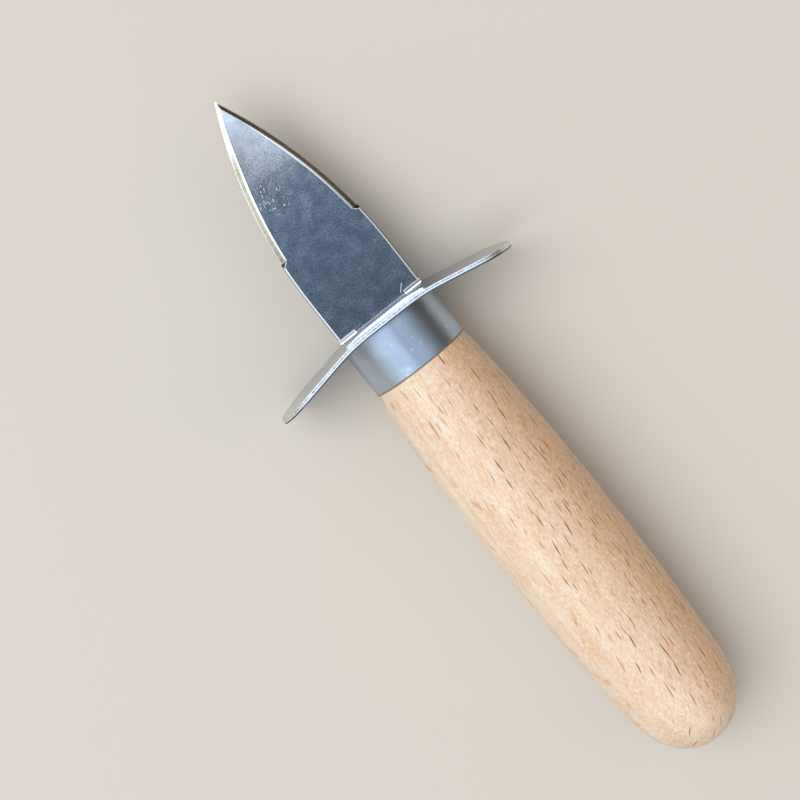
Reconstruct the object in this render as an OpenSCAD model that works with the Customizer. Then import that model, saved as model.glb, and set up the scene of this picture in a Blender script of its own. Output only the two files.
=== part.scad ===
// Oyster knife: a short leaf blade with a hand guard, a ferrule and a turned beech handle.
// The knife lies on its side, blade flat and level, pointing along +Y. All sizes are in millimetres.

/* [Blade] */
// Length of the blade from the guard to the tip
blade_length = 51.8; // [49:0.1:58]
// Width across the parallel heel of the blade
blade_width = 19.7; // [19.2:0.1:20.2]
// Thickness of the steel sheet
blade_thickness = 1.6; // [1.2:0.1:2.4]
// Radius of the long curve that each side follows
belly_radius = 92; // [88:1:94]
// Half angle of the straight-sided point
point_angle = 24.6; // [24:0.1:25]
// Width of the rounding that stamping leaves along the sides
rolled_width = 0.45; // [0.2:0.05:0.6]
// Depth of that rounding
rolled_drop = 0.12; // [0.05:0.01:0.2]

/* [Grinding] */
// Distance from the tip at which the ground bevels begin
bevel_length = 32; // [28:0.5:35]
// Width of each bevel, seen from above
bevel_width = 1.3; // [1:0.05:1.8]
// Width of the gentler slope buffed along the top of each bevel
crest_width = 0.5; // [0.2:0.05:0.7]
// Fall of the metal over that gentler slope
crest_drop = 0.14; // [0.08:0.01:0.2]
// Thickness left at the blunt edge
edge_thickness = 0.3; // [0.2:0.05:0.6]
// Depth by which grinding sets the edge in from the stamped side
edge_set_in = 0.15; // [0.05:0.05:0.3]
// Radius of the grinding wheel's rounded shoulder, left where a bevel ends
wheel_shoulder = 1.2; // [0.8:0.1:2]
// Length over which the faces fall away to the thin tip
taper_length = 17.5; // [12:0.5:20]
// Radius of the curve in which they fall away
taper_radius = 760; // [700:10:900]

/* [Relief slits] */
// Length of each slit, from the side of the heel inwards
slit_length = 3.7; // [3:0.1:4.6]
// Width of each slit through the sheet
slit_width = 0.3; // [0.2:0.05:0.4]
// Width of the chamfered mouth of each slit
slit_mouth = 0.8; // [0.6:0.05:1]
// Metal left between the mouth and the guard
slit_land = 0.45; // [0.3:0.05:0.8]
// Width of the scribed line that joins the slits
scribe_width = 0.24; // [0.15:0.01:0.4]
// Radius on the two corners of the heel
heel_corner = 0.6; // [0.3:0.05:0.65]

/* [Tang] */
// Width of the tang
tang_width = 8; // [6:0.1:9]
// Length of the tang behind the guard's front face
tang_length = 38; // [30:0.5:50]
// Width across the blunt end of the tang
tang_end_width = 4.5; // [3:0.1:6]
// Length of the tang's tapered end
tang_taper = 6; // [4:0.5:10]

/* [Guard] */
// Length of the guard from wing to wing
guard_length = 55.6; // [52:0.1:60]
// Height of the guard
guard_height = 25.8; // [25.4:0.1:30]
// Thickness of the guard's sheet
guard_thickness = 1; // [0.8:0.1:1.5]
// Radius of the curved ends
guard_end_radius = 20.4; // [18:0.1:24]
// Radius on the four corners
guard_corner = 6; // [4:0.1:8]
// Half width of the flat middle
guard_flat = 5; // [4.9:0.1:7]
// Radius of the bend on each side of the flat
bend_radius = 42; // [36:1:50]
// Angle by which each wing is swept back towards the hand
wing_angle = 11; // [8:0.1:14]
// Gap on each side of the tang where it passes through the guard
slot_clearance = 0.1; // [0.05:0.05:0.3]

/* [Ferrule] */
// Outside diameter of the ferrule
ferrule_diameter = 21; // [20.5:0.1:22]
// Length of the ferrule
ferrule_length = 10.5; // [8:0.1:14]
// Thickness of the tube
ferrule_wall = 0.6; // [0.5:0.1:1]
// Gap between the tube and the neck of the handle
neck_clearance = 0.05; // [0.02:0.01:0.15]

/* [Handle] */
// Length of the wood behind the ferrule
handle_length = 95; // [90:0.5:110]
// Diameter at the thickest place
handle_diameter = 25.1; // [24.6:0.1:25.5]
// Distance from the butt to the thickest place
swell_from_butt = 48.5; // [45:0.5:52]
// Radius of the long curve in the middle of the grip
grip_radius = 610; // [560:10:700]
// Length behind the ferrule over which the wood is drawn in to meet it flush
neck_blend = 16; // [8:0.5:25]
// Length of the rounded butt
butt_length = 17; // [14:0.5:20]
// Fullness of the rounded butt, where 2 is an ellipse
butt_fullness = 3; // [2.4:0.05:3.4]
// Diameter of the drilled hole for the tang
bore_diameter = 9.5; // [9.4:0.1:11]
// Depth of the drilled hole from the front of the neck
bore_depth = 42; // [40:0.5:55]

/* [Hidden] */
$fn = 96;
// Circle steps used on the large radii
fine = 720;
// Amount by which cutting shapes run past what they cut
over = 1;
// Angle by which the stamped curve's cut runs on into the ground one
cut_overlap = 2;
// Angle at which each bend leaves the guard's flat
bend_lead = 1;

half_width = blade_width / 2 - edge_set_in;
half_thickness = blade_thickness / 2;

// The side runs straight from the heel, then in one long curve, then straight again to the point
point_half_width = half_width - belly_radius * (1 - cos(point_angle));
point_forward = point_half_width / tan(point_angle);
point_start = blade_length - point_forward;
belly_start = point_start - belly_radius * sin(point_angle);

// Centre of the side's curve, for the side at +X
belly_centre = [half_width - belly_radius, belly_start];

bevel_start = blade_length - bevel_length;
grind_angle = asin((bevel_start - belly_start) / belly_radius);
bevel_drop = half_thickness - edge_thickness / 2;
bevel_slope = atan((bevel_drop - crest_drop) / (bevel_width - crest_width));

// Each edge from the face down to the side, as distances in from the side and heights
rolled_edge = [[rolled_width, half_thickness], [0, half_thickness - rolled_drop]];
ground_edge = [
    [bevel_width, half_thickness],
    [bevel_width - crest_width, half_thickness - crest_drop],
    [0, edge_thickness / 2]
];

slit_y = slit_land + slit_mouth / 2;
slit_end = blade_width / 2 - slit_length;

ferrule_front = -guard_thickness;
ferrule_back = ferrule_front - ferrule_length;
butt_end = ferrule_back - handle_length;
neck_radius = ferrule_diameter / 2 - ferrule_wall - neck_clearance;
bore_radius = bore_diameter / 2;
// Cone that a drill leaves at the bottom of its hole
bore_point = bore_radius / tan(59);

// Distances along the wood are counted from the front of its neck
wood_length = ferrule_length + handle_length;
swell = wood_length - swell_from_butt;
butt_start = wood_length - butt_length;

// The frame: the middle of the knife's length is over the origin and the guard's foot is at z = 0
axis_height = guard_height / 2;
guard_y = -(blade_length + butt_end) / 2;

module on_axis() {
    translate([0, guard_y, axis_height])
        children();
}

module both_sides() {
    children();
    mirror([1, 0, 0])
        children();
}

module both_faces() {
    children();
    mirror([0, 0, 1])
        children();
}

// What is taken off outside a side at distance r, which leaves the given edge on both faces
module edge_profile(r, edge) {
    slope = (edge[0].y - edge[1].y) / (edge[0].x - edge[1].x);
    rest = [for (k = [1:len(edge) - 1]) edge[k]];
    last = len(rest) - 1;
    inner = edge[0] + over * [1, slope];
    outer = r + blade_width;
    polygon(concat(
        [[outer, inner.y], [r - inner.x, inner.y]],
        [for (k = [0:last]) [r - rest[k].x, rest[k].y]],
        [for (k = [0:last]) [r - rest[last - k].x, -rest[last - k].y]],
        [[r - inner.x, -inner.y], [outer, -inner.y]]
    ));
}

module along_belly(from, to) {
    translate([belly_centre.x, belly_centre.y, 0])
        rotate([0, 0, from])
            rotate_extrude(angle = to - from, $fn = fine)
                children();
}

// Each cut runs on past the next one's start, where it lies clear outside the finished side
module stamped_side_cut() {
    translate([0, belly_start + over, 0])
        rotate([90, 0, 0])
            linear_extrude(belly_start + 2 * over)
                edge_profile(half_width + edge_set_in, rolled_edge);
    along_belly(0, grind_angle + cut_overlap)
        edge_profile(belly_radius + edge_set_in, rolled_edge);
}

module ground_side_cut() {
    along_belly(grind_angle, point_angle)
        edge_profile(belly_radius, ground_edge);
    translate([point_half_width, point_start, 0])
        rotate([0, 0, point_angle])
            translate([0, blade_width, 0])
                rotate([90, 0, 0])
                    linear_extrude(blade_width + point_forward / 2)
                        edge_profile(0, ground_edge);
    both_faces()
        bevel_run_out();
}

// The rounded shoulder of the wheel, laid along the slope where the bevel ends
module bevel_run_out() {
    slope_middle = [belly_radius - ground_edge[1].x / 2, (ground_edge[1].y + ground_edge[2].y) / 2];
    lift = wheel_shoulder * [sin(bevel_slope), cos(bevel_slope)];
    translate([belly_centre.x, belly_centre.y, 0])
        rotate([0, 0, grind_angle])
            translate([slope_middle.x + lift.x, 0, slope_middle.y + lift.y])
                rotate([0, 90 + bevel_slope, 0])
                    cylinder(h = 4 * bevel_width, r = wheel_shoulder, center = true);
}

// Metal above the upper face that the taper towards the tip takes away
module taper_cut() {
    taper_lead = 2;
    crown = half_thickness + pow(taper_lead, 2) / (2 * taper_radius);
    translate([0, blade_length - taper_length, 0])
        difference() {
            translate([-blade_width, 0, 0])
                cube([2 * blade_width, taper_length + over, 2 * blade_thickness]);
            translate([0, -taper_lead, crown - taper_radius])
                rotate([0, 90, 0])
                    cylinder(h = 3 * blade_width, r = taper_radius, center = true, $fn = 4 * fine);
        }
}

// One relief slit, cut right through and chamfered at both faces
module slit_cut() {
    depth = (slit_mouth - slit_width) / 2;
    reach = slit_length + over;
    translate([slit_end + slit_width / 2, slit_y, 0]) {
        cylinder(h = 4 * blade_thickness, d = slit_width, center = true);
        translate([0, -slit_width / 2, -2 * blade_thickness])
            cube([reach, slit_width, 4 * blade_thickness]);
        both_faces()
            translate([0, 0, half_thickness - depth]) {
                cylinder(h = 2 * depth, d1 = slit_width, d2 = slit_mouth + 2 * depth);
                rotate([90, 0, 90])
                    linear_extrude(reach)
                        polygon([
                            [-slit_width / 2, 0],
                            [slit_width / 2, 0],
                            [slit_mouth / 2 + depth, 2 * depth],
                            [-slit_mouth / 2 - depth, 2 * depth]
                        ]);
            }
    }
}

// The fine line scribed across the upper face between the slits
module scribe_cut() {
    translate([0, slit_y, half_thickness])
        rotate([45, 0, 0])
            cube([2 * slit_end, scribe_width / sqrt(2), scribe_width / sqrt(2)], center = true);
}

// Rounds the edge between two faces that meet at right angles or less, from one face's normal to the other's
module round_off(radius, from, to, height) {
    rotate([0, 0, from])
        rotate_extrude(angle = to - from)
            translate([radius, -height])
                square([radius, 2 * height]);
}

module tang() {
    translate([0, 0, -half_thickness])
        linear_extrude(blade_thickness)
            polygon([
                [tang_width / 2, over],
                [tang_width / 2, tang_taper - tang_length],
                [tang_end_width / 2, -tang_length],
                [-tang_end_width / 2, -tang_length],
                [-tang_width / 2, tang_taper - tang_length],
                [-tang_width / 2, over]
            ]);
}

module blade() {
    color("slategray")
        on_axis()
            difference() {
                union() {
                    translate([-blade_width / 2, 0, -half_thickness])
                        cube([blade_width, blade_length + over, blade_thickness]);
                    tang();
                }
                both_sides() {
                    translate([blade_width / 2 - heel_corner, heel_corner, 0])
                        round_off(heel_corner, -90, 0, blade_thickness);
                    stamped_side_cut();
                    ground_side_cut();
                    slit_cut();
                }
                both_faces()
                    taper_cut();
                scribe_cut();
            }
}

// A block whose front follows the guard's flat middle, bends and wings, moved back by a thickness
module bent_block(back) {
    reach = guard_length + wood_length;
    difference() {
        translate([-reach, -reach, -guard_height])
            cube([2 * reach, reach - back, 2 * guard_height]);
        both_sides()
            translate([guard_flat - bend_radius * sin(bend_lead), -bend_radius * cos(bend_lead), 0]) {
                rotate([0, 0, 90 - wing_angle])
                    rotate_extrude(angle = wing_angle, $fn = fine)
                        translate([bend_radius - back, -2 * guard_height])
                            square([bend_radius, 4 * guard_height]);
                rotate([0, 0, -wing_angle])
                    translate([-over, bend_radius - back, -2 * guard_height])
                        cube([2 * reach, reach, 4 * guard_height]);
            }
    }
}

// Shapes the front of what stands behind the guard to bed on it
module bedded_on_guard() {
    intersection() {
        children();
        bent_block(guard_thickness);
    }
}

// The guard seen from the tip: straight long sides, curved ends and rounded corners
module guard_outline() {
    end_centre = guard_length / 2 - guard_end_radius;
    corner_z = guard_height / 2 - guard_corner;
    corner_x = end_centre + sqrt(pow(guard_end_radius - guard_corner, 2) - pow(corner_z, 2));
    corner_normal = atan2(corner_z, corner_x - end_centre);
    depth = guard_length / 2;
    rotate([90, 0, 0])
        difference() {
            intersection() {
                cube([2 * guard_length, guard_height, 2 * depth], center = true);
                for (side = [-1, 1])
                    translate([side * end_centre, 0, 0])
                        cylinder(h = 3 * depth, r = guard_end_radius, center = true, $fn = fine);
            }
            for (turn_x = [0, 1], turn_z = [0, 1])
                mirror([turn_x, 0, 0])
                    mirror([0, turn_z, 0])
                        translate([corner_x, corner_z, 0])
                            round_off(guard_corner, corner_normal, 90, 2 * depth);
        }
}

module guard() {
    color("lightsteelblue")
        on_axis()
            difference() {
                intersection() {
                    difference() {
                        bent_block(0);
                        bent_block(guard_thickness);
                    }
                    guard_outline();
                }
                cube([tang_width + 2 * slot_clearance, 4 * guard_thickness,
                      blade_thickness + 2 * slot_clearance], center = true);
            }
}

// A turned shape is drawn as radius against distance, and revolved about the knife's axis
module turned(front) {
    translate([0, front, 0])
        rotate([90, 0, 0])
            rotate_extrude()
                children();
}

module ferrule() {
    color("lightslategray")
        on_axis()
            bedded_on_guard()
                turned(ferrule_front)
                    translate([ferrule_diameter / 2 - ferrule_wall, -over])
                        square([ferrule_wall, ferrule_length + over]);
}

// Radius of the grip's long curve at a distance from the front of the neck
function grip(at) = handle_diameter / 2 - grip_radius * (1 - cos(asin((at - swell) / grip_radius)));

// How much the wood is drawn in near the ferrule
function drawn_in(at) =
    let (left = max(0, 1 - (at - ferrule_length) / neck_blend))
    (grip(ferrule_length) - ferrule_diameter / 2) * pow(left, 2);

// Share of the grip's radius that the rounded butt leaves
function butt_share(at) = sqrt(max(0, 1 - pow(max(0, at - butt_start) / butt_length, butt_fullness)));

function wood_radius(at) = (grip(at) - drawn_in(at)) * butt_share(at);

module wood_profile() {
    steps = 28;
    grip_places = [for (i = [0:steps - 1]) ferrule_length + (butt_start - ferrule_length) * i / steps];
    butt_places = [for (turn = [0:5:85]) butt_start + butt_length * sin(turn)];
    polygon(concat(
        [[bore_radius, -over], [neck_radius, -over], [neck_radius, ferrule_length]],
        [for (at = grip_places) [wood_radius(at), at]],
        [for (at = butt_places) [wood_radius(at), at]],
        [[0, wood_length], [0, bore_depth + bore_point], [bore_radius, bore_depth]]
    ));
}

module handle() {
    color("burlywood")
        on_axis()
            bedded_on_guard()
                turned(ferrule_front)
                    wood_profile();
}

// The resin fills the drilled hole and takes the tang's shape
module tang_resin() {
    color("darkkhaki")
        on_axis()
            difference() {
                bedded_on_guard()
                    turned(ferrule_front)
                        polygon([
                            [0, -over],
                            [bore_radius, -over],
                            [bore_radius, bore_depth],
                            [0, bore_depth + bore_point]
                        ]);
                tang();
            }
}

blade();
guard();
ferrule();
handle();
tang_resin();
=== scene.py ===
import math

import bpy
from mathutils import Matrix, Vector


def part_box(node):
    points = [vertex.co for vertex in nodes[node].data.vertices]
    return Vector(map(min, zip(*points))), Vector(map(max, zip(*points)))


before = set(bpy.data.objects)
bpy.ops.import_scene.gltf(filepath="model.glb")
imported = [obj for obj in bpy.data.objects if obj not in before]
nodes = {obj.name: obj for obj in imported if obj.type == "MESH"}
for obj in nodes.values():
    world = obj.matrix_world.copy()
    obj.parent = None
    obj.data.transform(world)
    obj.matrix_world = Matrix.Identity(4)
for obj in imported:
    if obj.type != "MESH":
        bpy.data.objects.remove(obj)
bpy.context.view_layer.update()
print("frame loaded:", sorted(nodes))

# Places that the finishes are laid out from
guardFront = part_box("guard")[1][1]
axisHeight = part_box("guard")[1][2] / 2
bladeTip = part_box("blade")[1][1]
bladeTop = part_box("blade")[1][2]
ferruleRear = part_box("ferrule")[0][1]
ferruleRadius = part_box("ferrule")[1][0]

# Most of a noise lies between these, about its middle
noiseSpan = (0.3, 0.7)
grainSpan = (0.25, 0.75)
hazeSpan = (0.35, 0.7)
noiseMiddle = 0.5


# Short words for the shader nodes that every finish is made of
class Shader:
    def __init__(self, name, world=None):
        self.material = world or bpy.data.materials.new(name)
        self.material.use_nodes = True
        self.tree = self.material.node_tree
        self.tree.nodes.clear()
        self.output = self.add("ShaderNodeOutputWorld" if world else "ShaderNodeOutputMaterial")
        self.surface = self.add("ShaderNodeBackground" if world else "ShaderNodeBsdfPrincipled")
        self.wire(self.surface.outputs[0], self.output.inputs["Surface"])

    def add(self, kind, **settings):
        made = self.tree.nodes.new(kind)
        for key, value in settings.items():
            setattr(made, key, value)
        return made

    def wire(self, source, target):
        self.tree.links.new(source, target)

    def fill(self, socket, value):
        if isinstance(value, bpy.types.NodeSocket):
            self.wire(value, socket)
        elif value is not None:
            socket.default_value = value

    def set(self, name, value):  # one of the surface's own inputs
        self.fill(self.surface.inputs[name], value)

    def math(self, operation, first, second=None, clamp=False):
        made = self.add("ShaderNodeMath", operation=operation, use_clamp=clamp)
        for socket, value in zip(made.inputs, (first, second)):
            self.fill(socket, value)
        return made.outputs[0]

    def chain(self, operation, values):
        total = values[0]
        for value in values[1:]:
            total = self.math(operation, total, value)
        return total

    def times(self, *values):
        return self.chain("MULTIPLY", values)

    def plus(self, *values):
        return self.chain("ADD", values)

    def most(self, *values):
        return self.chain("MAXIMUM", values)

    def minus(self, first, second, clamp=False):
        return self.math("SUBTRACT", first, second, clamp)

    def size(self, value):
        return self.math("ABSOLUTE", value)

    def vector(self, operation, first, second=None):
        made = self.add("ShaderNodeVectorMath", operation=operation)
        for socket, value in zip(made.inputs, (first, second)):
            self.fill(socket, value)
        return made.outputs["Value" if operation in ("DISTANCE", "DOT_PRODUCT") else "Vector"]

    def parts(self, vector):
        made = self.add("ShaderNodeSeparateXYZ")
        self.wire(vector, made.inputs[0])
        return made.outputs

    def joined(self, x, y, z):
        made = self.add("ShaderNodeCombineXYZ")
        for socket, value in zip(made.inputs, (x, y, z)):
            self.fill(socket, value)
        return made.outputs[0]

    def spread(self, value, low, high, newLow=0.0, newHigh=1.0, smooth=False):
        made = self.add("ShaderNodeMapRange", interpolation_type="SMOOTHSTEP" if smooth else "LINEAR")
        for key, number in zip(("Value", "From Min", "From Max", "To Min", "To Max"),
                               (value, low, high, newLow, newHigh)):
            self.fill(made.inputs[key], number)
        return made.outputs["Result"]

    def fall(self, value, low, high, smooth=False):  # 1 below low, 0 above high
        return self.spread(value, low, high, 1.0, 0.0, smooth)

    def near(self, place, spot, reach, fade):  # 1 within reach of a spot, 0 past reach + fade
        return self.fall(self.vector("DISTANCE", place, spot), reach, reach + fade, smooth=True)

    def blendColour(self, share, first, second, mode="MIX"):
        made = self.add("ShaderNodeMix", data_type="RGBA", blend_type=mode)
        for index, value in ((0, share), (6, first), (7, second)):
            self.fill(made.inputs[index], value)
        return made.outputs[2]

    def blendValue(self, share, first, second):
        made = self.add("ShaderNodeMix", data_type="FLOAT")
        for index, value in ((0, share), (2, first), (3, second)):
            self.fill(made.inputs[index], value)
        return made.outputs[0]

    def layered(self, base, *layers):  # each layer is a share and a colour, laid over those before it
        for share, tint in layers:
            base = self.blendColour(share, base, tint)
        return base

    def shaded(self, tint, shade):
        return self.blendColour(1.0, tint, self.joined(shade, shade, shade), "MULTIPLY")

    def noise(self, place, scale, detail=3.0, roughness=0.5):
        made = self.add("ShaderNodeTexNoise", noise_dimensions="3D")
        self.wire(place, made.inputs["Vector"])
        made.inputs["Scale"].default_value = scale
        made.inputs["Detail"].default_value = detail
        made.inputs["Roughness"].default_value = roughness
        return made.outputs["Fac"]

    def stretched(self, place, sizes):
        return self.vector("MULTIPLY", place, [1.0 / size for size in sizes])

    def streaks(self, place, sizes, detail=3.0, roughness=0.5):  # a noise drawn out to these sizes
        return self.noise(self.stretched(place, sizes), 1.0, detail, roughness)

    def bump(self, height, distance, strength, below=None):
        made = self.add("ShaderNodeBump")
        made.inputs["Strength"].default_value = strength
        made.inputs["Distance"].default_value = distance
        self.wire(height, made.inputs["Height"])
        self.fill(made.inputs["Normal"], below)
        return made.outputs["Normal"]

    def rounded(self, radius):  # the surface normal as if every edge had this radius
        made = self.add("ShaderNodeBevel", samples=6)
        made.inputs["Radius"].default_value = radius
        return made.outputs["Normal"]

    def place(self):
        return self.add("ShaderNodeTexCoord").outputs["Object"]

    def normal(self):
        return self.add("ShaderNodeTexCoord").outputs["Normal"]

    def facing(self):
        return self.parts(self.normal())

    def dress(self, node):
        mesh = nodes[node].data
        mesh.materials.clear()
        mesh.materials.append(self.material)


def colour(red, green, blue):  # 0 to 255 each, as on a colour chart, turned into light
    return (*(((part / 255 + 0.055) / 1.055) ** 2.4 for part in (red, green, blue)), 1.0)


def aheadOfGuard(distances):
    return [guardFront + distance for distance in distances]


# Strokes and scratches on the steel
strokeLook = {
    "cut": (0.62, 0.72),  # noise between these fades from bare metal to a full stroke
    "patchCut": (0.66, 0.74),  # the same for the patches that the strokes keep to, less the share wanted
    "patchSize": 3,  # times the stroke's own
    "core": 0.4,  # the share of a scratch's half width that is full
}


# Short strokes, along the first size and thin across the others, kept where a slow noise is high
def strokes(s, place, sizes, share):
    fine = s.streaks(place, sizes, detail=1.0)
    patch = s.streaks(place, [size * strokeLook["patchSize"] for size in sizes], detail=1.0)
    return s.times(s.spread(fine, *strokeLook["cut"]),
                   s.spread(patch, *[cut - share for cut in strokeLook["patchCut"]]))


# One straight scratch between two points of the top face
def oneScratch(s, place, start, end, halfWidth):
    along = Vector(end) - Vector(start)
    away = s.vector("SUBTRACT", place, start)
    share = s.vector("DOT_PRODUCT", away, along / along.length_squared)
    inside = s.math("MINIMUM", s.most(share, 0.0), 1.0)
    foot = s.vector("MULTIPLY", s.joined(inside, inside, inside), along)
    return s.fall(s.vector("DISTANCE", away, foot), halfWidth * strokeLook["core"], halfWidth, smooth=True)


# Lengths are in metres, and grainFades, highlitBevel, runOut and heelLand are distances ahead of the guard
bladeLook = {
    "millFace": colour(204, 208, 214),
    "groundBevel": colour(178, 175, 161),
    "bevelGrit": colour(136, 133, 120),
    # Painted highlight: a near-white, brighter than the steel, laid on the crests, burrs, the -X bevel near
    # the point, the run-outs' shoulders, the slit lips and the land
    "crest": colour(252, 250, 246),
    "shearedSide": colour(206, 208, 210),
    "shearedDark": colour(160, 160, 160),
    "scribe": colour(104, 113, 126),
    # Painted shade inside the slits
    "slitShade": colour(58, 62, 70),
    "runOutShade": colour(84, 80, 74),  # painted shade where a bevel ends
    "scuffAndHighlight": colour(250, 250, 250),
    "faceRoughness": (0.08, 0.13),
    "bevelRoughness": 0.17,
    "scuffRoughness": 0.45,
    "grainSize": 0.00032,
    "grainContrast": 0.46,
    "grainDepth": 0.0000055,
    "bump": 0.6,
    "grainFades": (0.036, 0.044),  # buffing smooths the point
    "grainLeft": 0.35,  # the share left there
    "cloudScale": 420.0,
    "cloudShade": (0.86, 1.08),
    "gritSize": (0.0035, 0.00022, 0.0035),  # grinding lines cross the bevel
    "gritDepth": 0.8,  # times the grain's
    "edgeRadius": 0.00014,
    "softRadius": 0.0004,  # within which the crests, burrs and shaded lines along the edges lie
    "edgeShade": 0.55,  # of the face along its edges
    "edgeShadeFar": 0.45,  # how much of that shading the +X side gets
    "middleFade": 0.001,  # each way from the middle
    "outerCrest": (1.975, 0.873),  # turns a crest's slope into the bevel's, across and up
    "pointHighlight": (0.0003, 0.0008),  # the reach of the painted highlight at the point, whose normals also lean, and how far past it this fades
    "highlitBevel": (0.0385, 0.0480),  # from here on the -X bevel turns bright, a painted highlight
    "highlitBevelFade": 0.0002,  # across the middle
    "runOut": (0.0175, 0.0235),  # the bevels end between these
    "heelLand": (0.00075, 0.00095),  # the painted highlight on the strip of face against the guard fades out here
    "slitsAhead": 0.00087,  # of the guard, to the middle of the slits
    "slitHalf": 0.00045,
    "scribeHalf": 0.0003,
    "scribeReach": 0.0060,  # each way from the middle
    "scuffSpot": (-0.0026, 0.0308),  # across, and ahead of the guard
    "scuffReach": 0.0026,
    "scuffFade": 0.002,
    "scuffTurn": 20,  # degrees
    "scuffSize": (0.00022, 0.0008, 0.0008),
    "scuffShare": 0.22,
    "scratchEnds": ((0.0066, 0.0026), (0.0054, 0.0013)),  # across, and ahead of the guard
    "scratchHalf": 0.00009,
    # How far each zone leans from its true face: across, along, and outward from the blade's middle
    "leans": {
        "crest": (0.0, 0.0, 0.25),  # buffed over towards the face
        "lip": (-0.75, 0.0, 2.4),
        "burr": (0.0, 0.0, 0.8),
        "point": (-0.4, 0.0, 1.5),
        "highlitBevel": (0.0, 0.0, 0.5),
        "shoulder": (-0.5, 0.0, 1.0),
        "land": (0.0, 0.06, 0.0),
    },
    # The upward part of a normal tells the zones apart: crests lean 16 degrees, bevels 33 and sides 90.
    # Each pair is where a zone starts and where it is full.
    "tilt": {
        "face": (0.975, 0.99),
        "crest": (0.9, 0.95),
        "bevel": (0.3, 0.4),
        "lip": (0.1, 0.3),
        "runOut": (0.12, 0.2),  # of the part along the knife
        "outerCrest": (0.955, 0.967),  # of the softened normal, above which the crest is an inner one
        "edgeLine": (0.9955, 0.9985),  # of the softened normal, above which there is no line
        "burr": (0.16, 0.26),  # by which softening turns the normal away from up
        "shoulder": (0.07, 0.13),  # by which softening turns it back towards up
    },
}


# How far each point of the blade belongs to each zone, from 0 to 1
def bladeZones(s, place):
    look, tilt = bladeLook, bladeLook["tilt"]
    across, along = s.parts(place)[0:2]
    up = s.size(s.facing()[2])
    softUp = s.size(s.parts(s.rounded(look["softRadius"]))[2])
    face = s.spread(up, *tilt["face"])
    level = s.spread(up, *tilt["crest"])
    crests = s.minus(level, face, clamp=True)
    outerCrest = s.times(crests, s.fall(softUp, *tilt["outerCrest"]))
    bevel = s.minus(s.spread(up, *tilt["bevel"]), face, clamp=True)
    burr = s.times(s.minus(bevel, level, clamp=True), s.spread(s.minus(up, softUp), *tilt["burr"]))
    edgeLine = s.times(face, s.fall(softUp, *tilt["edgeLine"]),
                       s.spread(across, -look["middleFade"], look["middleFade"], 1.0, look["edgeShadeFar"]))
    heelEnd, pointEnd = aheadOfGuard(look["runOut"])
    endsHere = s.times(s.math("GREATER_THAN", along, heelEnd), s.math("LESS_THAN", along, pointEnd))
    runOut = s.times(endsHere, s.spread(s.size(s.facing()[1]), *tilt["runOut"]))
    runOut = s.minus(runOut, face, clamp=True)
    shoulder = s.times(runOut, s.spread(s.minus(softUp, up), *tilt["shoulder"]))
    highlitBevel = s.times(s.spread(along, *aheadOfGuard(look["highlitBevel"]), smooth=True),
                      s.fall(across, 0.0, look["highlitBevelFade"]), bevel)
    offSlits = s.size(s.minus(along, guardFront + look["slitsAhead"]))
    fromMiddle = s.size(across)
    scribe = s.times(s.math("LESS_THAN", offSlits, look["scribeHalf"]),
                     s.math("LESS_THAN", fromMiddle, look["scribeReach"]))
    slit = s.times(s.math("LESS_THAN", offSlits, look["slitHalf"]),
                   s.math("GREATER_THAN", fromMiddle, look["scribeReach"]))
    return {
        "face": face,
        "crest": s.minus(crests, outerCrest),
        "outerCrest": outerCrest,
        "bevel": bevel,
        "burr": burr,
        "edgeLine": edgeLine,
        "runOut": runOut,
        "shoulder": shoulder,
        "highlitBevel": highlitBevel,
        "point": s.near(place, (0.0, bladeTip, axisHeight), *look["pointHighlight"]),
        "scribe": scribe,
        "slit": slit,
        "lip": s.times(slit, s.spread(up, *tilt["lip"])),
        "land": s.times(face, s.fall(along, *aheadOfGuard(look["heelLand"]))),
    }


# Scuffs from shells near the point, and one scratch at the heel
def bladeMarks(s, place):
    look = bladeLook
    across, ahead = look["scuffSpot"]
    scuffed = s.near(place, (across, guardFront + ahead, axisHeight), look["scuffReach"], look["scuffFade"])
    turned = s.add("ShaderNodeVectorRotate", rotation_type="Z_AXIS")
    s.wire(place, turned.inputs["Vector"])
    turned.inputs["Angle"].default_value = math.radians(look["scuffTurn"])
    scuffs = strokes(s, turned.outputs["Vector"], look["scuffSize"], look["scuffShare"])
    start, end = [(across, guardFront + ahead, bladeTop) for across, ahead in look["scratchEnds"]]
    return s.most(s.times(scuffs, scuffed), oneScratch(s, place, start, end, look["scratchHalf"]))


def bladeColours(s, zones, marks, grain, cloud, grit):
    look = bladeLook
    darkest, lightest = 1 - look["grainContrast"], 1 + look["grainContrast"]
    shade = s.times(s.spread(grain, *grainSpan, darkest, lightest),
                    s.spread(cloud, *noiseSpan, *look["cloudShade"]),
                    s.spread(zones["edgeLine"], 0.0, 1.0, 1.0, look["edgeShade"]))
    side = s.blendColour(s.spread(grain, *noiseSpan), look["shearedDark"], look["shearedSide"])
    ground = s.blendColour(s.spread(grit, *noiseSpan), look["groundBevel"], look["bevelGrit"])
    return s.layered(
        side,
        (zones["bevel"], ground),
        # Painted highlight: crests, burrs and the -X bevel near the point are laid in near-white
        (s.most(zones["crest"], zones["burr"], zones["highlitBevel"]), look["crest"]),
        # Painted shade on the run-outs, with a painted highlight along their shoulders
        (zones["runOut"], s.blendColour(zones["shoulder"], look["runOutShade"], look["crest"])),
        # Painted shade on the slit walls, and a painted highlight on their lips
        (zones["slit"], look["slitShade"]),
        (zones["lip"], look["crest"]),
        (zones["scribe"], look["scribe"]),
        (zones["face"], s.shaded(look["millFace"], shade)),
        # Painted highlight on the strip of face against the guard
        (zones["land"], look["crest"]),
        # Real scuffs and a scratch, and a painted highlight on the point
        (s.most(marks, zones["point"]), look["scuffAndHighlight"]),
    )


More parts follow.
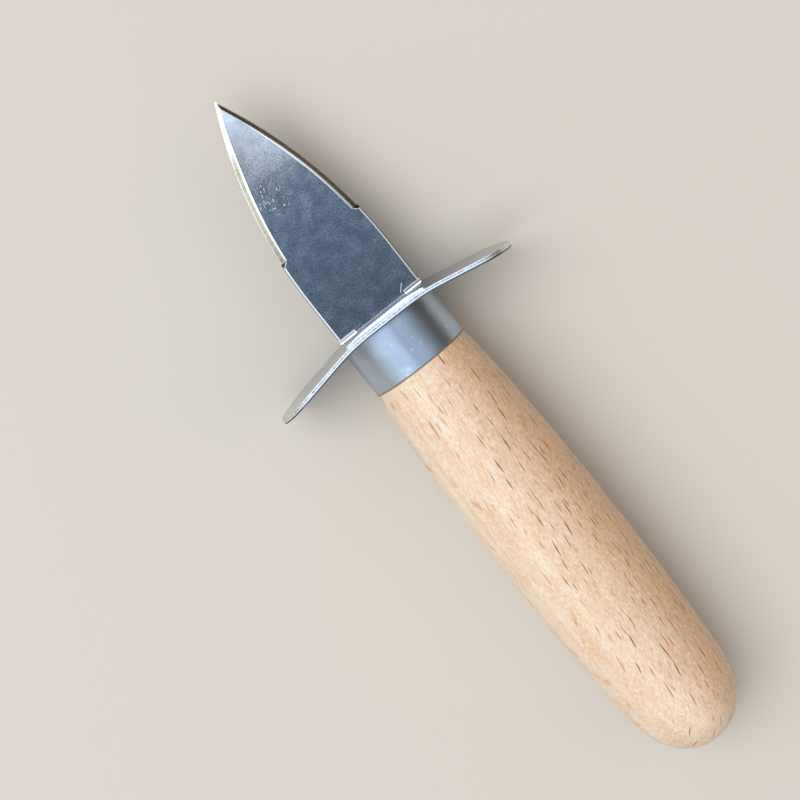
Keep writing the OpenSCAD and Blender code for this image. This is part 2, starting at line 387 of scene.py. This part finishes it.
def bladeNormal(s, zones):
    wider, lower = [s.blendValue(zones["outerCrest"], 1.0, times) for times in bladeLook["outerCrest"]]
    sloped = s.vector("MULTIPLY", s.rounded(bladeLook["edgeRadius"]), s.joined(wider, wider, lower))
    across, along, upward = [
        s.plus(*[s.times(zones[zone], lean[axis]) for zone, lean in bladeLook["leans"].items()])
        for axis in range(3)]
    outward = s.times(upward, s.math("SIGN", s.facing()[2]))
    return s.vector("NORMALIZE", s.vector("ADD", sloped, s.joined(across, along, outward)))


def bladeSteel():
    s = Shader("blade_steel")
    look = bladeLook
    place = s.place()
    zones = bladeZones(s, place)
    marks = bladeMarks(s, place)
    cloud = s.noise(place, look["cloudScale"])
    grit = s.streaks(place, look["gritSize"], detail=2.0, roughness=0.6)
    grain = s.noise(place, 1 / look["grainSize"], detail=3.0, roughness=0.62)
    left = s.spread(s.parts(place)[1], *aheadOfGuard(look["grainFades"]), 1.0, look["grainLeft"])
    grain = s.plus(noiseMiddle, s.times(s.minus(grain, noiseMiddle), left))
    rough = s.blendValue(zones["face"], look["bevelRoughness"],
                         s.spread(cloud, *noiseSpan, *look["faceRoughness"]))
    height = s.blendValue(zones["face"], s.times(grit, look["gritDepth"]), grain)
    s.set("Base Color", bladeColours(s, zones, marks, grain, cloud, grit))
    s.set("Roughness", s.blendValue(marks, rough, look["scuffRoughness"]))
    s.set("Metallic", 1.0)
    s.set("Normal", s.bump(height, look["grainDepth"], look["bump"], bladeNormal(s, zones)))
    s.dress("blade")


guardLook = {
    "face": colour(186, 189, 193),
    "faceDull": colour(170, 173, 178),
    # Painted dark reflection: the wings' faces are laid darker than the middle
    "wingFaceShade": colour(160, 163, 168),
    "rim": colour(236, 239, 242),
    "rimDark": colour(180, 187, 197),
    "rimPit": colour(82, 88, 100),
    "rimHighlight": colour(252, 252, 252),
    "rimBackShade": colour(104, 108, 114),  # painted shade in a band along the rim's back edge
    "faceRoughness": (0.11, 0.19),
    "rimRoughness": 0.42,
    "facingFront": (0.6, 0.8),  # the part of a normal along the knife that tells the faces from the rim
    "wingStart": (0.0098, 0.0112),  # from the middle
    "bendStart": 0.00427,  # from the middle
    "bendRadius": 0.042,
    "wingSweep": 11,  # degrees
    "frontLine": (0.00012, 0.00020),  # depths at which the rim's front line starts to fade and is gone
    "backLine": (0.00048, 0.00056, 0.00068, 0.00076),  # the same for the back line, with its rise first
    "burrLean": -0.25,  # of both lines, towards -X
    "edgeRadius": 0.0003,
    "hazeScale": 260.0,
    "hazeDepth": 0.1,  # times the tears'
    "tearSize": (0.0004, 0.0008, 0.0004),
    "tearSpan": (0.4, 0.6),
    "tearDepth": 0.00001,
    "bump": 0.6,
    "pitSize": 0.00032,
    "pitSpan": (0.58, 0.68),
    "pitShare": 0.6,
}


# Depth below the guard's front face, which follows the bends and the swept wings
def guardDepth(s, across, along):
    sweep = math.radians(guardLook["wingSweep"])
    radius = guardLook["bendRadius"]
    beyond = s.most(s.minus(across, guardLook["bendStart"]), 0.0)
    onBend = s.math("MINIMUM", beyond, radius * math.sin(sweep))
    swept = s.plus(s.math("DIVIDE", s.times(onBend, onBend), 2 * radius),
                   s.times(s.minus(beyond, onBend), math.tan(sweep)))
    return s.minus(guardFront, s.plus(along, swept))


def guardSteel():
    s = Shader("guard_steel")
    look = guardLook
    place = s.place()
    isFace = s.spread(s.size(s.facing()[1]), *look["facingFront"])
    haze = s.noise(place, look["hazeScale"], detail=4.0, roughness=0.6)
    tears = s.streaks(place, look["tearSize"], detail=3.0, roughness=0.65)
    pits = s.noise(place, 1 / look["pitSize"], detail=2.0)
    across = s.size(s.parts(place)[0])
    depth = guardDepth(s, across, s.parts(place)[1])
    rises, risen, falls, fallen = look["backLine"]
    backLine = s.times(s.spread(depth, rises, risen), s.fall(depth, falls, fallen))
    shining = s.minus(s.most(s.fall(depth, *look["frontLine"]), backLine), isFace, clamp=True)
    face = s.layered(look["face"],
                     (s.spread(haze, *hazeSpan), look["faceDull"]),
                     # painted dark reflection on the wings
                     (s.spread(across, *look["wingStart"]), look["wingFaceShade"]))
    rim = s.layered(look["rimDark"],
                    (s.spread(tears, *look["tearSpan"]), look["rim"]),
                    (s.spread(pits, *look["pitSpan"], 0.0, look["pitShare"]), look["rimPit"]),
                    # A painted highlight on the rim's front and back lines, and painted shade in the band
                    # behind
                    (shining, look["rimHighlight"]),
                    (s.spread(depth, falls, fallen), look["rimBackShade"]))
    # Along its bright lines, which are a painted highlight, the rim faces squarely outward, with a slight
    # lean to -X
    square = s.joined(1.0, s.fall(shining, 0.0, 1.0), 1.0)
    squared = s.vector("MULTIPLY", s.rounded(look["edgeRadius"]), square)
    lean = s.joined(s.times(shining, look["burrLean"]), 0.0, 0.0)
    normal = s.vector("NORMALIZE", s.vector("ADD", squared, lean))
    height = s.blendValue(isFace, tears, s.times(haze, look["hazeDepth"]))
    s.set("Base Color", s.blendColour(isFace, rim, face))
    s.set("Roughness", s.blendValue(isFace, look["rimRoughness"],
                                    s.spread(haze, *noiseSpan, *look["faceRoughness"])))
    s.set("Metallic", 1.0)
    s.set("Normal", s.bump(height, look["tearDepth"], look["bump"], normal))
    s.dress("guard")


ferruleLook = {
    "steel": colour(188, 200, 215),
    "dull": colour(176, 188, 203),
    "scuffAndHighlight": colour(226, 234, 242),
    "roughness": (0.32, 0.37),
    "cloudScale": 300.0,
    "grainSize": 0.0003,
    "grainShade": (0.90, 1.08),
    "grainDepth": 0.000004,
    "bump": 0.4,
    "edgeRadius": 0.0003,
    "scuffSize": (0.0005, 0.0010, 0.0005),
    "scuffShare": 0.07,
    "scuffStrength": 0.6,
    # Smears, the first a painted highlight at the rear end: across, behind the guard's front, and reach
    "smearsAndHighlight": ((-0.0030, 0.0108, 0.0012), (-0.0020, 0.0048, 0.0004), (0.0002, 0.0080, 0.0004)),
    "smearHighlightSolid": 0.3,  # of the reach
    "smearHighlightStrength": 0.8,
    "rippleSize": (0.0009, 0.0005, 0.0009),
    "rippleSpan": (0.35, 0.6),
}


def ferruleSteel():
    s = Shader("ferrule_steel")
    look = ferruleLook
    place = s.place()
    cloud = s.noise(place, look["cloudScale"])
    grain = s.noise(place, 1 / look["grainSize"], detail=3.0, roughness=0.6)
    scuffs = strokes(s, place, look["scuffSize"], look["scuffShare"])
    base = s.blendColour(s.spread(cloud, *hazeSpan), look["steel"], look["dull"])
    base = s.shaded(base, s.spread(grain, *grainSpan, *look["grainShade"]))
    base = s.blendColour(s.times(scuffs, look["scuffStrength"]), base, look["scuffAndHighlight"])
    rippled = s.spread(s.streaks(place, look["rippleSize"], detail=2.0), *look["rippleSpan"])
    # The first is a painted highlight at the ferrule's rear end, the others are smears
    for across, behind, reach in look["smearsAndHighlight"]:
        lift = math.sqrt(ferruleRadius ** 2 - across ** 2)
        spot = (across, guardFront - behind, axisHeight + lift)
        smearOrHighlight = s.times(s.near(place, spot, reach * look["smearHighlightSolid"], reach), rippled)
        base = s.blendColour(s.times(smearOrHighlight, look["smearHighlightStrength"]), base, look["scuffAndHighlight"])
    s.set("Base Color", base)
    s.set("Roughness", s.spread(cloud, *noiseSpan, *look["roughness"]))
    s.set("Metallic", 1.0)
    s.set("Normal", s.bump(grain, look["grainDepth"], look["bump"], s.rounded(look["edgeRadius"])))
    s.dress("ferrule")


beechLook = {
    "cream": colour(237, 223, 204),
    "tan": colour(226, 196, 165),
    "heartAndShadeSide": colour(219, 175, 131),
    "fleck": colour(124, 48, 16),
    "fleckFaint": colour(172, 96, 52),
    "fleckBroad": colour(204, 132, 82),  # a ray cut flat
    "pore": colour(188, 144, 106),
    "glint": colour(252, 238, 218),
    "seam": colour(60, 44, 34),  # the shade right behind the ferrule
    "rayLean": 35,  # degrees from the top towards +X at which the rays come out of the wood
    "grainTurn": 3.5,  # degrees by which the grain is off the handle's axis
    "wander": 0.0016,  # how far the grain strays to each side
    "wanderSize": (0.010, 0.030, 0.010),
    "ringSize": (0.02, 0.16, 0.0028),
    "cloudSize": (0.003, 0.009, 0.003),
    "toneSpan": (0.38, 0.62),
    "heartAndShadeStart": (-0.003, 0.011),  # across, where the wood turns darker: partly the heartwood's tone, partly painted shade on the side away from the light
    "heartAndShadeShare": 0.8,
    "poreSize": (0.00013, 0.0022, 0.00013),
    # In each of these the first pair of noise levels gets the second pair of shares
    "poreShares": ((0.5, 0.72), (0.0, 0.6)),
    "speckleSize": (0.0003, 0.0009, 0.0003),
    "glintShares": ((0.3, 0.5), (0.45, 0.0)),
    "darkShares": ((0.54, 0.7), (0.0, 0.3)),
    "cutFlat": (0.75, 0.95),  # how squarely the surface looks at the rays' broad sides where they show flat
    "seamBehind": (0.0004, 0.0002),
    "seamShare": 0.8,
    "poreDepth": 0.00003,
    "roughness": ((0.3, 0.8), (0.42, 0.6)),  # by the pores
    "bump": 0.35,
    "coat": 0.3,
    "coatRoughness": 0.3,
    "rays": {
        "gap": (0.0015, 0.0050, 0.0034),
        "half": (0.00012, 0.0021, 0.0019),
        "kept": 0.97,  # the share of the cells that show one
        "keptFade": 0.02,
        "scatter": 0.9,
        "lengths": (0.5, 1.2),
        "widths": (0.65, 1.3),
        "edge": (0.6, 1.05),  # of its half sizes, where it fades out
        "strengths": (0.7, 1.0),
        "strongFrom": 0.6,  # of the cells' chance, above which the strength is full
        "depth": 0.3,  # times the pores'
        "share": (0.9, 1.0),  # from the light side to the heart side
        "wornFlat": ((0.42, 0.58), (0.75, 0.1)),  # how much of a flat one is worn off, by the clouds
        "faintGap": 0.8,  # times the bold rays' own
        "faintHalf": 0.75,  # times the bold rays' own
        "faintKept": 0.9,
        "faintMoved": (0.01, 0.02, 0.03),
        "faintShare": (0.45, 0.8),  # from the light side to the heart side
        "faintFlat": 0.4,
    },
}


# A ray is a thin lens in the wood, in a cell of its own,
# a few millimetres along the grain and out from the heart
def rays(s, place, gap, half, kept):
    look = beechLook["rays"]
    cells = s.add("ShaderNodeTexVoronoi", feature="F1")
    scaled = s.stretched(place, gap)
    s.wire(scaled, cells.inputs["Vector"])
    cells.inputs["Scale"].default_value = 1.0
    cells.inputs["Randomness"].default_value = look["scatter"]
    away = s.parts(s.vector("SUBTRACT", scaled, cells.outputs["Position"]))
    chance = s.add("ShaderNodeSeparateColor")
    s.wire(cells.outputs["Color"], chance.inputs[0])
    first, second, third = chance.outputs[0:3]
    across, along, outward = [s.times(away[axis], gap[axis] / half[axis]) for axis in range(3)]
    along = s.math("DIVIDE", along, s.spread(first, 0.0, 1.0, *look["lengths"]))
    across = s.math("DIVIDE", across, s.spread(second, 0.0, 1.0, *look["widths"]))
    reach = s.plus(s.size(across), s.plus(s.times(along, along), s.times(outward, outward)))
    shape = s.fall(reach, *look["edge"], smooth=True)
    shown = s.spread(third, 1 - kept, 1 + look["keptFade"] - kept)
    return s.times(shape, shown, s.spread(first, 0.0, look["strongFrom"], *look["strengths"]))


# The handle's own places turned to the grain, with a slow wander across it
def grainPlace(s):
    leaning = s.add("ShaderNodeVectorRotate", rotation_type="EULER_XYZ")
    s.wire(s.place(), leaning.inputs["Vector"])
    leaning.inputs["Center"].default_value = (0, 0, axisHeight)
    leaning.inputs["Rotation"].default_value = (0, -math.radians(beechLook["rayLean"]),
                                                math.radians(beechLook["grainTurn"]))
    place = leaning.outputs["Vector"]
    wander = s.streaks(place, beechLook["wanderSize"], detail=2.0)
    strayed = s.spread(wander, 0.0, 1.0, -beechLook["wander"], beechLook["wander"])
    return s.vector("ADD", place, s.joined(strayed, 0.0, 0.0))


def beech():
    s = Shader("beech")
    look, ray = beechLook, beechLook["rays"]
    place = grainPlace(s)
    pores = s.streaks(place, look["poreSize"], detail=3.0, roughness=0.6)
    rings = s.streaks(place, look["ringSize"], detail=2.0)
    clouds = s.streaks(place, look["cloudSize"], detail=4.0, roughness=0.6)
    speckle = s.streaks(place, look["speckleSize"], detail=2.0)
    bold = rays(s, place, ray["gap"], ray["half"], ray["kept"])
    faintGap = [gap * ray["faintGap"] for gap in ray["gap"]]
    faintHalf = [half * ray["faintHalf"] for half in ray["half"]]
    faint = rays(s, s.vector("ADD", place, ray["faintMoved"]), faintGap, faintHalf, ray["faintKept"])
    leanAngle = math.radians(look["rayLean"])
    square = s.vector("DOT_PRODUCT", s.normal(), (-math.cos(leanAngle), 0, math.sin(leanAngle)))
    flat = s.spread(s.size(square), *look["cutFlat"])
    # Darker towards +X: partly heartwood tone, partly painted shade away from the light
    toHeartAndShade = s.spread(s.parts(s.place())[0], *look["heartAndShadeStart"], smooth=True)
    tone = s.plus(s.times(rings, 0.5), s.times(clouds, 0.5))
    faintShare = s.times(faint, s.spread(flat, 0.0, 1.0, 1.0, ray["faintFlat"]),
                         s.spread(toHeartAndShade, 0.0, 1.0, *ray["faintShare"]))
    wearSpan, wornOff = ray["wornFlat"]
    pointHighlight = s.times(flat, s.spread(clouds, *wearSpan, *wornOff))
    boldShare = s.times(bold, s.minus(s.spread(toHeartAndShade, 0.0, 1.0, *ray["share"]), pointHighlight))
    seam = s.spread(s.parts(s.place())[1], *[ferruleRear - behind for behind in look["seamBehind"]])
    poreSpan, poreShare = look["poreShares"]
    glintSpan, glintShare = look["glintShares"]
    darkSpan, darkShare = look["darkShares"]
    s.set("Base Color", s.layered(
        look["cream"],
        (s.spread(tone, *look["toneSpan"]), look["tan"]),
        (s.times(toHeartAndShade, look["heartAndShadeShare"]), look["heartAndShadeSide"]),
        (s.spread(pores, *poreSpan, *poreShare), look["pore"]),
        (s.spread(speckle, *glintSpan, *glintShare), look["glint"]),
        (s.spread(speckle, *darkSpan, *darkShare), look["pore"]),
        (faintShare, s.blendColour(flat, look["fleckFaint"], look["fleckBroad"])),
        (boldShare, s.blendColour(flat, look["fleck"], look["fleckBroad"])),
        (s.times(seam, look["seamShare"]), look["seam"]),
    ))
    sunk = s.times(s.plus(pores, s.times(bold, ray["depth"])), -0.5)  # both lie below the surface
    roughSpan, roughness = look["roughness"]
    s.set("Roughness", s.spread(pores, *roughSpan, *roughness))
    s.set("Coat Weight", look["coat"])
    s.set("Coat Roughness", look["coatRoughness"])
    s.set("Normal", s.bump(sunk, look["poreDepth"], look["bump"]))
    s.dress("handle")


resinLook = {
    "dark": colour(176, 152, 96),
    "pale": colour(205, 184, 128),
    "roughness": (0.4, 0.6),
    "cloudScale": 300.0,
}


def setResin():
    s = Shader("set_resin")
    cloud = s.noise(s.place(), resinLook["cloudScale"])
    s.set("Base Color", s.blendColour(cloud, resinLook["dark"], resinLook["pale"]))
    s.set("Roughness", s.spread(cloud, *noiseSpan, *resinLook["roughness"]))
    s.dress("tang_resin")


for makeFinish in (bladeSteel, guardSteel, ferruleSteel, beech, setResin):
    makeFinish()
print("materials made")


# A flat level sheet with two opposite corners at low and high
def makeSheet(name, low, high, height):
    (x0, y0), (x1, y1) = low, high
    mesh = bpy.data.meshes.new(name)
    corners = [(x0, y0, height), (x1, y0, height), (x1, y1, height), (x0, y1, height)]
    mesh.from_pydata(corners, [], [(0, 1, 2, 3)])
    sheet = bpy.data.objects.new(name, mesh)
    bpy.context.scene.collection.objects.link(sheet)
    return sheet


floorLook = {
    "size": 3.0,
    "colour": colour(210, 206, 200),
    "roughness": 0.8,
    "below": 0.00002,  # under the knife
}


def makeFloor():
    half = floorLook["size"] / 2
    floor = makeSheet("floor", (-half, -half), (half, half), 0)
    s = Shader("floor_paint")
    s.set("Base Color", floorLook["colour"])
    s.set("Roughness", floorLook["roughness"])
    floor.data.materials.append(s.material)
    floor.location.z = -floorLook["below"]


# A broad soft light from above and from the -X side, falling away to a dim room on the +X side
skyLook = {
    "toward": (-0.46, 0.04, 0.88),
    "bright": (0.88, 1.0, 1.16, 1),
    "dim": (0.11, 0.10, 0.09, 1),
    "low": (1.0, 0.86, 0.66, 1),  # tint near the horizon
    "lowRange": (0.30, 0.62),
    "edges": (0.0, 0.92),
    "falloff": 1.25,
    "alongKnife": 0.25,  # below 1 the light stretches along the knife
    "endWalls": 0.9,  # share of the bright light low down at both ends
    "wallRange": (0.75, 0.93),
    "aheadGlow": 1.5,  # more light from a panel just ahead of the lens
    "aheadRange": (0.08, 0.14, 0.3, 0.45),
    "onMatt": (0.56, 0.56, 0.56, 1),  # the bright light as wood and floor get it
}


def makeSky():
    look = skyLook
    world = bpy.data.worlds.new("soft_sky")
    bpy.context.scene.world = world
    s = Shader("soft_sky", world)
    view = s.add("ShaderNodeTexCoord").outputs["Generated"]
    ahead, height = s.parts(view)[1:3]
    squeezed = s.vector("NORMALIZE", s.vector("MULTIPLY", view, (1, look["alongKnife"], 1)))
    toward = s.vector("DOT_PRODUCT", squeezed, Vector(look["toward"]).normalized())
    share = s.math("POWER", s.spread(toward, *look["edges"]), look["falloff"])
    walls = s.spread(s.size(ahead), *look["wallRange"], 0.0, look["endWalls"], smooth=True)
    share = s.most(share, walls)
    tint = s.blendColour(share, look["dim"], look["bright"])
    tint = s.blendColour(s.fall(height, *look["lowRange"]), tint,
                         s.blendColour(1.0, tint, look["low"], "MULTIPLY"))
    start, full, fading, gone = look["aheadRange"]
    panel = s.times(s.spread(ahead, start, full), s.fall(ahead, fading, gone))
    strength = s.plus(1.0, s.times(panel, look["aheadGlow"]))
    even = s.blendColour(share, look["dim"], look["onMatt"])
    path = s.add("ShaderNodeLightPath")
    shown = s.most(path.outputs["Is Camera Ray"], path.outputs["Is Glossy Ray"])
    s.set("Color", s.blendColour(shown, even, tint))
    s.set("Strength", s.blendValue(shown, 1.0, strength))


lampAim = (0, 0, 0.013)
lampLook = {
    "window": {"spot": (-0.45, 0.2, 1.0), "size": 0.9, "power": 9.3, "tint": (1.0, 0.99, 0.97)},
    "fill": {"spot": (0.8, -0.2, 0.6), "size": 1.0, "power": 2.2, "tint": (1.0, 0.84, 0.70)},
}


def makeLamps():
    for name, look in lampLook.items():
        light = bpy.data.lights.new(name, "AREA")
        light.shape = "SQUARE"
        light.size = look["size"]
        light.energy = look["power"]
        light.color = look["tint"]
        lamp = bpy.data.objects.new(name, light)
        bpy.context.scene.collection.objects.link(lamp)
        lamp.location = look["spot"]
        lamp.rotation_euler = (Vector(lampAim) - Vector(look["spot"])).to_track_quat("-Z", "Y").to_euler()
        lamp.visible_glossy = False


# A dark card beside the lens, which only polished steel shows: a dim glowing sheet that paints a dark
# reflection, the shade above the knife, into the steel
cardLook = {
    "low": (-0.045, -0.075),
    "high": (0.045, 0.114),
    "height": 0.412,
    "edge": 0.079,  # where the dark part ends, along the knife
    "softEdge": 0.011,
    "nearHeel": colour(74, 86, 101),
    "nearTip": colour(116, 136, 158),
    "shadeInset": (0.03, 0.02),  # from the card's heel end and from the edge, where the shading runs
    "warm": colour(150, 143, 140),  # a paler patch beyond the edge on the -X side
    "warmAcross": (-0.008, 0.0),
    "warmFade": 0.02,
    "warmShare": 0.85,
}


def makeCard():
    look = cardLook
    card = makeSheet("card", look["low"], look["high"], look["height"])
    heelEnd, tipEnd, edge = look["low"][1], look["high"][1], look["edge"]
    fromHeel, fromEdge = look["shadeInset"]
    s = Shader("card_grey")
    glow = s.add("ShaderNodeEmission")
    across, along = s.parts(s.place())[0:2]
    past = s.spread(along, edge - look["softEdge"], edge, smooth=True)
    toTip = s.spread(along, heelEnd + fromHeel, edge - fromEdge)
    dark = s.blendColour(toTip, look["nearHeel"], look["nearTip"])
    s.fill(glow.inputs["Color"], s.blendColour(past, dark, look["warm"]))
    patch = s.times(s.spread(across, *look["warmAcross"], look["warmShare"], 0.0, smooth=True),
                    s.fall(along, tipEnd - look["warmFade"], tipEnd, smooth=True))
    clear = s.add("ShaderNodeBsdfTransparent")
    mix = s.add("ShaderNodeMixShader")
    s.fill(mix.inputs[0], s.times(past, s.minus(1.0, patch)))
    s.wire(glow.outputs[0], mix.inputs[1])
    s.wire(clear.outputs[0], mix.inputs[2])
    s.wire(mix.outputs[0], s.output.inputs["Surface"])
    s.tree.nodes.remove(s.surface)
    card.data.materials.append(s.material)
    card.visible_camera = False
    card.visible_diffuse = False
    card.visible_shadow = False
    card.visible_transmission = False


# The camera looks down at the knife, a little from the blade's end, with the tip up and to the left
cameraLook = {
    "spot": (0.0, 0.0539, 0.4176),
    "target": (-0.0076, 0.0123, 0.0129),
    "turn": 38.27,
    "lens": 94.5,
    "sensor": 36.0,
    "clipStart": 0.01,
}


def makeCamera():
    data = bpy.data.cameras.new("camera")
    data.lens = cameraLook["lens"]
    data.sensor_width = cameraLook["sensor"]
    data.clip_start = cameraLook["clipStart"]
    camera = bpy.data.objects.new("camera", data)
    bpy.context.scene.collection.objects.link(camera)
    turn = math.radians(cameraLook["turn"])
    back = (Vector(cameraLook["spot"]) - Vector(cameraLook["target"])).normalized()
    right = Vector((math.sin(turn), math.cos(turn), 0)).cross(back).normalized()
    axes = Matrix((right, back.cross(right), back)).transposed()
    camera.matrix_world = Matrix.Translation(cameraLook["spot"]) @ axes.to_4x4()
    bpy.context.scene.camera = camera


for makeStagePart in (makeFloor, makeSky, makeLamps, makeCard, makeCamera):
    makeStagePart()
bpy.context.scene.view_settings.view_transform = "Standard"
print("stage, lamps and camera made")
